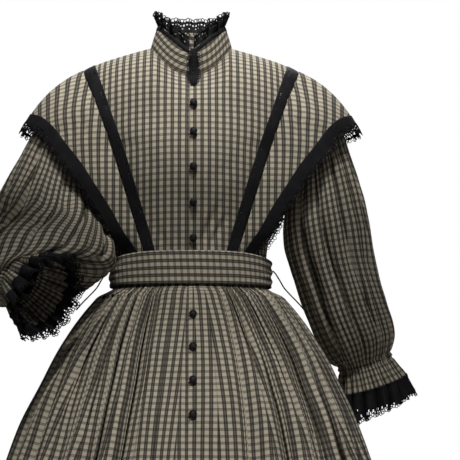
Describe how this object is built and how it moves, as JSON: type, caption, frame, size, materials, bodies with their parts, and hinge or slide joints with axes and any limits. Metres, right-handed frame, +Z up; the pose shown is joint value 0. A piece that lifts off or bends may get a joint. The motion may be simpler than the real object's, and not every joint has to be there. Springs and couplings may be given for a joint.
{
  "type": "gathered day dress with bishop sleeves",
  "caption": "Checked cotton day dress: stand collar, shoulder wings edged in black lace, full sleeves, belt and a long gathered skirt, filled out as when worn.",
  "frame": {"origin": "on the centre line, at the height and depth where the shoulders carry the dress", "axes": "+Z up, -Y to the front of the dress, +X to the wearer's left"},
  "size_m": [0.9712, 0.8987, 1.484],
  "materials": {
    "check_cloth": "matt woven cotton, beige ground with a dark double-line check",
    "belt_cloth": "the same cotton cut crosswise, so that its dark stripes run along the belt",
    "black_lace": "matt black cotton lace and braid",
    "button_cloth": "black thread over ball buttons, and black cord"
  },
  "bodies": {
    "root": {"belt": "belt_cloth", "bodice_back": "check_cloth", "bodice_front_left": "check_cloth", "bodice_front_right": "check_cloth", "button_1": "button_cloth", "button_2": "button_cloth", "button_3": "button_cloth", "button_4": "button_cloth", "button_5": "button_cloth", "button_6": "button_cloth", "button_7": "button_cloth", "button_8": "button_cloth", "button_9": "button_cloth", "collar": "check_cloth", "collar_lace": "black_lace", "cuff_lace_left": "black_lace", "cuff_lace_right": "black_lace", "neck_lace_fall": "black_lace", "skirt_back": "check_cloth", "skirt_front_left": "check_cloth", "skirt_front_right": "check_cloth", "sleeve_left": "check_cloth", "sleeve_right": "check_cloth", "tie_left": "button_cloth", "tie_right": "button_cloth", "wing_lace_left": "black_lace", "wing_lace_right": "black_lace", "wing_left": "check_cloth", "wing_right": "check_cloth", "yoke_braid_left": "black_lace", "yoke_braid_right": "black_lace"}
  },
  "joints": []
}
